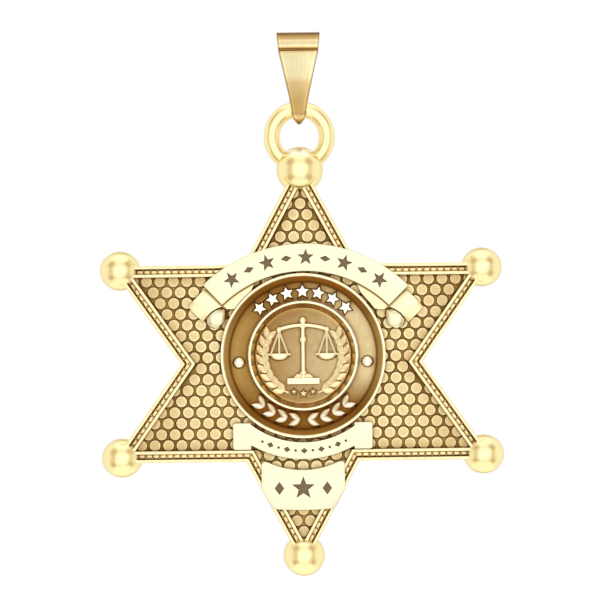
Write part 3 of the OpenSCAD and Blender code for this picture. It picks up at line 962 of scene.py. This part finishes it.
def bail_strip():
    """A folded strip, closed in side view, drawn in to its tapered outline and creased below its eye."""
    top_r, low_r = EYE_R + BAIL_T, LOOP_R + BAIL_T
    obj = begin(bpy.ops.mesh.primitive_circle_add, "bail_strip", vertices=64, radius=top_r, fill_type="NGON",
                location=(-1, 0, -EYE_R), rotation=(QUARTER_TURN, 0, QUARTER_TURN))
    edit_corners(obj, lambda co: co.z < -EYE_R - 1e-4)
    size = low_r / top_r
    bpy.ops.transform.resize(value=(1, size, size), center_override=(-1, 0, -EYE_R))
    bpy.ops.transform.translate(value=(0, 0, SWING_Z + EYE_R))
    edit_all(obj)
    bpy.ops.mesh.extrude_region_move(TRANSFORM_OT_translate={"value": (2, 0, 0)})
    edit_some(obj, "FACE", lambda face: abs(face.normal.x) > 0.9)
    border(BAIL_T)
    bpy.ops.mesh.bridge_edge_loops()
    crease = [CREASE_Z + step for step in (0.12, 0.04, -0.04, -0.12)]
    for z in crease + [NECK_Z, FOOT_END_Z]:
        bpy.ops.mesh.select_all(action="SELECT")
        bpy.ops.mesh.bisect(plane_co=(0, 0, z), plane_no=(0, 0, 1))
    bpy.ops.mesh.select_all(action="SELECT")
    outwards()
    done(obj)
    for level in sorted({round(corner.co.z, 4) for corner in obj.data.vertices}):
        edit_corners(obj, lambda co: abs(co.z - level) < 6e-5)
        bpy.ops.transform.resize(value=(bail_half_width(level), 1, 1), center_override=(0, 0, level))
    done(obj)
    round_edges(obj, 0.08)
    edit_corners(obj, lambda co: abs(co.z - CREASE_Z) < 0.05 and co.y < -EYE_R)
    bpy.ops.transform.translate(value=(0, 0.09, 0))
    return done(obj)


# Seal

def seal_disc():
    """The medallion: lip, slope, legend ring, inner ring and the emblem's floor, from the rim inwards."""
    obj = disc("seal_disc", 128, SEAL_R, SEAL_BACK, SEAL_X, SEAL_Z)
    edit_all(obj)
    forward(LIP_FRONT - 0.05 - SEAL_BACK)
    outer, inner, ring = LEGEND_OUT_R, LEGEND_IN_R, RING_IN_R
    lip, legend = LIP_FRONT, LEGEND_FRONT
    profile = [
        (SEAL_R, lip - 0.05), (SEAL_R - 0.05, lip), (LIP_IN_R, lip), (LIP_IN_R - 0.05, lip - 0.06),
        (outer + 0.02, lip - 0.25), (outer, legend + 0.03), (outer - 0.05, legend), (inner + 0.06, legend),
        (inner + 0.02, legend + 0.03), (inner, lip - 0.1), (inner - 0.03, lip - 0.05),
        (ring + 0.03, lip - 0.05), (ring, lip - 0.1), (ring - 0.02, lip - 0.2),
        (EMBLEM_R, EMBLEM_FRONT), (1.6, EMBLEM_FRONT)]
    for (radius, depth), (next_radius, next_depth) in zip(profile, profile[1:]):
        border(radius - next_radius, next_depth - depth)
    return done(obj)


def raised(obj, skirt, height, peak):
    """Raises a flat face with a flared foot and with facets that meet in a peak in the middle."""
    edit_all(obj)
    forward(0.02)
    border(skirt, 0.05)
    border(0.015, height - 0.11)
    border(0.04, 0.04)
    bpy.ops.mesh.poke(offset=peak)
    return done(obj)


def legend_stars():
    star = raised(star_face("legend_stars", 0.74, LEGEND_ROOT, inner=0.48), 0.055, RELIEF_H, 0.05)
    return join(copies(star, [(*on_ring(LEGEND_MID_R, 14 * i), 14 * i) for i in range(-3, 4)]))


def leaf(name, length, width, depth, height):
    """A leaf along X from the origin, with a raised midrib."""
    obj = begin(bpy.ops.mesh.primitive_grid_add, name, (length, width, 1), x_subdivisions=6, y_subdivisions=2,
                size=1, location=(length / 2, -depth, 0), rotation=(QUARTER_TURN, 0, 0))
    for i, share in enumerate([0.12, 0.66, 0.96, 1.0, 0.82, 0.48, 0.06]):
        x = length * i / 6
        edit_corners(obj, lambda co: abs(co.x - x) < 1e-4)
        bpy.ops.transform.resize(value=(1, 1, share), center_override=(x, -depth, 0))
    edit_all(obj)
    forward(height * 0.6)
    done(obj)
    edit_corners(obj, lambda co: abs(co.z) < 1e-4 and -co.y > depth + 0.01 and 0.01 < co.x < length - 0.01)
    bpy.ops.transform.translate(value=(0, -height * 0.4, 0))
    return done(obj)


def leaf_pairs(radius, count, start, step, lean, sides):
    """Places for pairs of leaves that run up the seal's sides from its foot, with their angles in degrees."""
    places = []
    for side in sides:
        for i in range(count):
            around = 180 + side * (start + step * i)
            for turn in (-lean, lean):
                places.append((*on_ring(radius, around), around + 90 * (1 + side) + turn))
    return places


def legend_leaves():
    """A garland under the emblem: pairs of leaves that run up both sides from its middle."""
    stock = leaf("legend_leaves", 1.12, 0.5, LEGEND_ROOT, RELIEF_H)
    return join(copies(stock, leaf_pairs(LEGEND_MID_R, 4, 3, 11.5, 28, (-1, 1))))


def pellets():
    """Two round domes at the legend's ends."""
    radius, height, steps = 0.48, 0.36, 7
    pellet = disc("seal_pellets", 28, radius, LEGEND_ROOT)
    edit_all(pellet)
    forward(0.04)
    angles = [math.radians(88 * i / steps) for i in range(steps + 1)]
    for angle, higher in zip(angles, angles[1:]):
        border(radius * (math.cos(angle) - math.cos(higher)), height * (math.sin(higher) - math.sin(angle)))
    done(pellet)
    return join(copies(pellet, [(SEAL_X + side * LEGEND_MID_R, SEAL_Z - 0.51, 0) for side in (-1, 1)]))


def rod(start, end, radius, depth, sides=10):
    """A round rod between two places on the emblem. The radius is a share of the emblem's too."""
    (x0, z0), (x1, z1) = start, end
    x, z = on_emblem((x0 + x1) / 2, (z0 + z1) / 2)
    return begin(bpy.ops.mesh.primitive_cylinder_add, "rod", vertices=sides, radius=radius * EMBLEM_R,
                 depth=math.hypot(x1 - x0, z1 - z0) * EMBLEM_R, location=(x, -depth, z),
                 rotation=(0, math.atan2(x1 - x0, z1 - z0), 0))


def rods(places, *settings):
    """Rods from each place to the next."""
    return [rod(start, end, *settings) for start, end in zip(places, places[1:])]


def knob(x, z, radius, depth, tall=1.0):
    return ball(*on_emblem(x, z), radius * EMBLEM_R, depth, 16, (1, 0.8, tall))


def pan(x, z):
    """A shallow bowl: the lower part of a flattened ball."""
    x, z = on_emblem(x, z)
    depth = EMBLEM_FRONT + 0.05
    obj = ball(x, z, 0.22 * EMBLEM_R, depth, 24, (1, 0.32, 0.62))
    edit_all(obj)
    bpy.ops.mesh.bisect(plane_co=(x, -depth, z), plane_no=(0, 0, 1), clear_outer=True, use_fill=True)
    return done(obj)


def emblem_scales():
    """A pair of balance scales. Sizes are shares of the emblem's radius."""
    mid = EMBLEM_FRONT + 0.12
    beam_r, beam_top, pan_z = 1.5, 0.64, 0.03
    parts = [rod((0, -0.5), (0, 0.68), 0.05, mid, 12), knob(0, 0.74, 0.08, mid + 0.04),
             knob(0, 0.34, 0.08, mid + 0.02, 1.3), knob(0, -0.36, 0.08, mid + 0.02, 0.8),
             knob(0, 0.6, 0.07, mid + 0.02, 0.7)]
    beam = [on_ring(beam_r, 20 - 4 * i, 0, beam_top - beam_r) for i in range(11)]
    parts += rods(beam, 0.046, mid)
    end_z = beam[0][1]
    for x in (-0.5, 0.5):
        parts.append(knob(x, end_z, 0.065, mid + 0.02))
        for spread in (-0.18, 0, 0.18):
            parts.append(rod((x, end_z - 0.03), (x + spread, pan_z), 0.024, EMBLEM_FRONT + 0.2, 6))
        parts.append(rod((x - 0.24, pan_z), (x + 0.24, pan_z), 0.028, mid + 0.03, 8))
        parts.append(pan(x, pan_z))
    steps = (0.34, -0.47, 0.34, -0.6, 0.26), (0.14, -0.38, 0.22, -0.47, 0.22)
    for top_w, top_z, low_w, low_z, height in steps:
        outline = (top_w, top_z), (-top_w, top_z), (-low_w, low_z), (low_w, low_z)
        step = slab("base", [on_emblem(x, z) for x, z in outline], EMBLEM_ROOT, EMBLEM_FRONT + height)
        parts.append(round_edges(step, 0.04))
    return join(parts, "emblem_scales")


def emblem_wreath():
    """Two laurel branches that start under the scales."""
    branch_r = 0.84
    stock = leaf("leaf", 0.27 * EMBLEM_R, 0.52, EMBLEM_ROOT, 0.28)
    parts = [join(copies(stock, leaf_pairs(branch_r * EMBLEM_R, 8, 28, 12.5, 27, (1, -1))))]
    for side in (-1, 1):
        stem = [on_ring(branch_r, 180 - side * (22 + 6.2 * i), 0, 0) for i in range(17)]
        parts += rods(stem, 0.018, EMBLEM_FRONT + 0.18, 6)
    return join(parts, "emblem_wreath")


def emblem_stars():
    """Three small stars at the foot of the emblem."""
    made = []
    for x, z, radius in ((0, -0.8, 0.12), (-0.2, -0.76, 0.1), (0.2, -0.76, 0.1)):
        star = star_face("emblem_stars", radius * EMBLEM_R, EMBLEM_ROOT, *on_emblem(x, z))
        made.append(raised(star, 0.025, 0.26, 0.04))
    return join(made)


# Panels

def star_mark(radius, x, z, turn, front):
    return deepen(star_face("mark", radius, front - ENGRAVE, x, z, turn), 1)


def lozenge_mark(length, width, x, z, turn, front):
    obj = disc("mark", 4, 0.5, front - ENGRAVE)
    obj.scale = (length, 1, width)
    obj.rotation_euler = (0, -math.radians(turn), 0)
    obj.location = (x, 0, z)
    take(obj)
    apply_placing()
    return deepen(obj, 1)


def engrave(obj, marks):
    """Cuts the marks into a panel and leaves their floors and walls brown."""
    for mark in marks:
        mark.data.materials.append(BROWN)
    obj.data.materials.append(PALE)
    face_out(obj)
    return combine(obj, join(marks), "DIFFERENCE")


def banner_band():
    """The arched panel, with stars and lozenges by turns."""
    start, end = 90 - BANNER_HALF - BANNER_TURN, 90 + BANNER_HALF - BANNER_TURN
    corners = arc(BANNER_X, BANNER_Z, BANNER_OUT_R, start, end, 30)
    corners += arc(BANNER_X, BANNER_Z, BANNER_IN_R, end, start, 30)
    obj = round_edges(slab("banner_band", corners, BANNER_BACK, BANNER_FRONT), 0.06)
    mid_r = (BANNER_IN_R + BANNER_OUT_R) / 2
    width = BANNER_OUT_R - BANNER_IN_R
    marks = []
    for i in range(-4, 5):
        turn = 8.4 * i - BANNER_TURN
        place = (*on_ring(mid_r, turn, BANNER_X, BANNER_Z), turn, BANNER_FRONT)
        if i % 2 == 0:
            marks.append(star_mark(0.31 * width, *place))
        else:
            marks.append(lozenge_mark(0.4 * width, 0.22 * width, *place))
    return engrave(obj, marks)


def ribbon_band():
    """The curved panel under the seal with its two end tabs."""
    in_r, out_r = SEAL_R + 0.32, SEAL_R + 0.32 + 1.36
    tab_in, tab_out, tab_top, tab_bottom, corner_r = 4.1, 5.55, STAR_Z - 4.74, STAR_Z - 6.86, 0.22

    def curve(radius, start_x, end_x, count):
        """The lower arc of a circle round the seal's centre, from one upright line to another."""
        start, end = [-math.degrees(math.acos((x - SEAL_X) / radius)) for x in (start_x, end_x)]
        return arc(SEAL_X, SEAL_Z, radius, start, end, count)

    tab = [(-tab_in, tab_top)]
    tab += arc(-tab_out + corner_r, tab_top - corner_r, corner_r, 90, 180, 4)
    tab += arc(-tab_out + corner_r, tab_bottom + corner_r, corner_r, 180, 270, 4)
    tab += [(-tab_in, tab_bottom)]
    corners = curve(in_r, tab_in, -tab_in, 20) + tab + curve(out_r, -tab_in, tab_in, 24) + mirrored(tab)
    obj = round_edges(slab("ribbon_band", corners, PEBBLE_SEAT, RIBBON_FRONT), 0.05)
    marks = []
    for i in range(-5, 6):
        turn = 180 + 5.2 * i
        x, z = on_ring((in_r + out_r) / 2, turn)
        if i % 2 == 0:
            marks.append(lozenge_mark(0.55, 0.46, x, z, turn, RIBBON_FRONT))
        else:
            marks.append(deepen(disc("mark", 12, 0.106, RIBBON_FRONT - ENGRAVE, x, z), 1))
    return engrave(obj, marks)


def plate_panel():
    """The panel over the lower arm, with a hollow top edge and a bulging bottom edge."""
    half_w, top_z, hollow, bottom_z, bulge, corner_r = 3.32, 7.8, 0.66, 11.56, 0.12, 0.3
    slope = SHOULDER_X / (TIP_Z - SIDE_TIP_Z)

    def bow(half, depth):
        """Radius and half the angle of a curve that is twice half wide and depth deep."""
        radius = (half ** 2 + depth ** 2) / (2 * depth)
        return radius, math.degrees(math.asin(half / radius))

    hollow_r, hollow_half = bow(half_w - 1.6 * corner_r, hollow)
    bulge_r, bulge_half = bow((TIP_Z - bottom_z) * slope, bulge)
    hollow_half -= 1
    top_centre = STAR_Z - top_z - 0.02 - hollow + hollow_r
    top = arc(0, top_centre, hollow_r, 270 + hollow_half, 270 - hollow_half, 16)
    side = arc(-half_w + corner_r, STAR_Z - top_z - corner_r, corner_r, 60, 180, 6)
    side += [(-half_w, STAR_Z - TIP_Z + half_w / slope)]
    bottom = arc(0, STAR_Z - bottom_z - bulge + bulge_r, bulge_r, 270 - bulge_half, 270 + bulge_half, 8)
    corners = top + side + bottom + mirrored(side)
    obj = round_edges(slab("plate_panel", corners, BANNER_BACK, PLATE_FRONT), 0.06)
    mark_z = STAR_Z - (top_z + bottom_z + 0.5) / 2
    marks = [star_mark(0.95, 0, mark_z, 0, PLATE_FRONT)]
    marks += [lozenge_mark(0.76, 1.05, x, mark_z, 0, PLATE_FRONT) for x in (-1.9, 1.9)]
    return engrave(obj, marks)


def banner_end(side, radial, step):
    """A place at a banner's end: radial from the banner's centre, and a step on past the end."""
    a = math.radians(side * BANNER_HALF + BANNER_TURN)
    return (BANNER_X + radial * math.sin(a) + side * step * math.cos(a),
            BANNER_Z + radial * math.cos(a) - side * step * math.sin(a))


def step_between(table, share):
    """The value at a share of a table's length, in straight lines from row to row."""
    place = share * (len(table) - 1)
    row = min(int(place), len(table) - 2)
    first, second = table[row], table[row + 1]
    return [a + (place - row) * (b - a) for a, b in zip(first, second)]


# Each row: step past the banner's end, inner and outer distance from the banner's centre, depth.
# The fold rises, dips and turns back at its end, and the curl is the leaf-like tip behind it
FOLD_ROWS = [(-0.25, 9.5, 11.0, 1.02), (0.04, 9.4, 11.26, 1.08), (0.14, 9.44, 11.34, 1.12),
             (0.34, 9.54, 11.38, 1.18), (0.62, 9.65, 11.36, 1.25), (0.95, 9.72, 11.34, 1.28),
             (1.25, 9.73, 11.34, 1.24), (1.5, 9.7, 11.34, 1.15), (1.64, 9.67, 11.34, 1.05),
             (1.76, 9.65, 11.34, 1.09), (1.92, 9.62, 11.32, 1.18), (2.06, 9.6, 11.28, 1.09)]
CURL_ROWS = [(0.14, 8.93, 9.26, 1.05), (0.3, 8.72, 9.38, 1.16), (0.55, 8.55, 9.5, 1.24),
             (0.85, 8.44, 9.58, 1.3), (1.15, 8.44, 9.6, 1.33), (1.45, 8.48, 9.58, 1.32),
             (1.68, 8.54, 9.52, 1.27), (1.84, 8.68, 9.44, 1.18), (1.94, 8.92, 9.28, 1.06)]


def ribbon_part(name, side, rows, fall):
    """A strip of ribbon on the pebbles, shaped by a table of rows and rounded across by fall."""
    obj = begin(bpy.ops.mesh.primitive_grid_add, name, x_subdivisions=6, y_subdivisions=len(rows) - 1, size=2,
                rotation=(QUARTER_TURN, 0, 0))
    for start in [corner.co.copy() for corner in obj.data.vertices]:
        across, along = (start.z + 1) / 2, (start.x + 1) / 2
        step, inner, outer, depth = step_between(rows, along)
        x, z = banner_end(side, inner + across * (outer - inner), step)
        move_corner(obj, start, Vector((x, -depth + fall * (2 * across - 1) ** 2, z)))
    edit_all(obj)
    forward(-0.2)
    bpy.ops.transform.resize(value=(1, 0, 1), center_override=(0, -PEBBLE_SEAT, 0))
    bpy.ops.mesh.select_all(action="SELECT")
    outwards()
    return done(obj)


def ribbon_back(side):
    """The ribbon where it comes out from under the banner beside the seal."""
    outline = [(9.7, 0.1), (9.36, 0.12), (9.08, 0.04), (8.72, -0.32), (8.52, -0.6), (8.6, -1.3),
               (8.66, -2.3), (9.0, -3.2), (9.7, -2.6)]
    corners = [banner_end(side, radial, step) for radial, step in outline]
    if side < 0:
        corners.reverse()
    obj = face_out(slab("back", corners, PEBBLE_SEAT, 1.1))
    return combine(obj, seal_core(SEAL_R + 0.05, 3), "DIFFERENCE")


def ribbon_ends():
    """The ribbon beyond the banner at both its ends."""
    made = []
    for side in (-1, 1):
        made.append(ribbon_part("fold", side, FOLD_ROWS, 0.07))
        made.append(ribbon_part("curl", side, CURL_ROWS, 0.11))
        made.append(ribbon_back(side))
    return join(made, "ribbon_ends")


# Stage

def studio_world():
    """A bright studio all round, with darker stretches beside and above the front."""
    stretches = [((0, 1, 0), 20, 70, (0.94, 0.9, 0.82)),
                 ((0, -0.1, 1), 15, 40, (1.45, 1.45, 1.45)), ((0, -0.1, -1), 15, 40, (1.4, 1.4, 1.4)),
                 ((0, 0.73, 0.68), 6, 24, (0.84, 0.74, 0.56)), ((0, 0.73, -0.68), 6, 24, (0.84, 0.74, 0.56)),
                 ((0.73, -0.68, 0), 4, 26, (0.84, 0.77, 0.65)),
                 ((-0.73, -0.68, 0), 4, 26, (0.84, 0.77, 0.65))]
    for x in (-0.68, 0.68):
        for z in (-0.58, 0.58):
            stretches.append(((x, -0.45, z), 3, 26, [0.72 * c for c in (0.98, 0.8, 0.58)]))
    stretches.append(((0, -1, 0), 18, 44, (1.54, 1.54, 1.54)))
    world = bpy.data.worlds.new("studio")
    bpy.context.scene.world = world
    world.use_nodes = True
    nodes = Nodes(world.node_tree)
    background = world.node_tree.nodes["Background"]
    output = world.node_tree.nodes["World Output"]
    direction = nodes.add("ShaderNodeTexCoord").outputs["Generated"]
    light = [1.12, 1.12, 1.1, 1]
    for towards, inner, outer, colour in stretches:
        dot = nodes.vector("DOT_PRODUCT", direction, Vector(towards).normalized(), "Value")
        share = nodes.map(dot, math.cos(math.radians(outer)), math.cos(math.radians(inner)), smooth=True)
        light = nodes.mix(share, light, [*colour, 1])
    nodes.put(background.inputs["Color"], light)
    white = nodes.add("ShaderNodeBackground", {"Color": (1, 1, 1, 1), "Strength": 1.0})
    seen = nodes.add("ShaderNodeLightPath").outputs["Is Camera Ray"]
    both = nodes.add("ShaderNodeMixShader", {0: seen, 1: background.outputs[0], 2: white.outputs[0]})
    nodes.put(output.inputs["Surface"], both.outputs[0])


def floor():
    clear_selection()
    bpy.ops.mesh.primitive_plane_add(size=0.32, location=(0, 0, -0.22))
    obj = bpy.context.object
    obj.name = "floor"
    material = bpy.data.materials.new("floor")
    material.use_nodes = True
    shader = material.node_tree.nodes["Principled BSDF"]
    shader.inputs["Base Color"].default_value = (0.86, 0.86, 0.86, 1)
    shader.inputs["Emission Color"].default_value = (1, 1, 1, 1)
    shader.inputs["Emission Strength"].default_value = 0.3
    obj.data.materials.append(material)


def camera():
    """The photograph's view: level, from the front, a little rolled."""
    lens, sensor, seen_w = 150, 36, 48
    bpy.ops.object.camera_add(location=(-0.093 * MM, -seen_w * lens / sensor * MM, (STAR_Z + 5.0) * MM),
                              rotation=(QUARTER_TURN, math.radians(0.68), 0))
    obj = bpy.context.object
    obj.data.lens = lens
    obj.data.sensor_width = sensor
    obj.data.clip_start = 0.01
    bpy.context.scene.camera = obj


def key_light():
    bpy.ops.object.light_add(type="AREA", location=(0.14, -0.26, 0.03))
    obj = bpy.context.object
    obj.data.energy = 0.03
    obj.data.size = 0.2
    aim = Vector((0, 0, STAR_Z * MM)) - obj.location
    obj.rotation_mode = "QUATERNION"
    obj.rotation_quaternion = aim.to_track_quat("-Z", "Y")


POLISHED = polished_gold()
PALE = panel_gold()
BROWN = engraved_brown()

settle(star_plate(), "drop", "star_body")
settle(rim_beads(), "drop", "star_body", bead_gold())
settle(field_pebbles(), "drop", "star_body", pebble_gold())
settle(ball_tips(), "drop", "star_body", POLISHED)
settle(jump_ring(), "drop", "star_body", POLISHED)
settle(bail_strip(), "bail", "bail", bail_gold())

# The painted shadow's colour at the foot of raised ornament.
DEEP_BROWN = 90, 51, 11
LEGEND_BRIGHT = relief_gold("legend_gold", LEGEND_FRONT, DEEP_BROWN, (168, 122, 60), (255, 250, 226))
PELLET_BRIGHT = relief_gold("pellet_gold", LEGEND_FRONT, (116, 78, 28), (220, 192, 140),
                            (255, 246, 222), 0.36)
EMBLEM_BRIGHT = relief_gold("emblem_gold", EMBLEM_FRONT, DEEP_BROWN, (176, 136, 78), (248, 232, 190), 0.3)
WREATH_BRIGHT = relief_gold("wreath_gold", EMBLEM_FRONT, DEEP_BROWN, (200, 164, 104), (250, 234, 188), 0.25)
settle(seal_disc(), "drop", "seal", seal_gold())
settle(legend_stars(), "drop", "seal", LEGEND_BRIGHT, 20)
settle(legend_leaves(), "drop", "seal", LEGEND_BRIGHT, 30)
settle(pellets(), "drop", "seal", PELLET_BRIGHT)
settle(emblem_scales(), "drop", "seal", EMBLEM_BRIGHT)
settle(emblem_wreath(), "drop", "seal", WREATH_BRIGHT, 30)
settle(emblem_stars(), "drop", "seal", EMBLEM_BRIGHT, 20)

settle(banner_band(), "drop", "top_banner")
settle(ribbon_ends(), "drop", "top_banner", ribbon_gold())
settle(ribbon_band(), "drop", "lower_ribbon")
settle(plate_panel(), "drop", "number_plate")

studio_world()
key_light()
floor()
camera()
bpy.context.scene.view_settings.view_transform = "Standard"
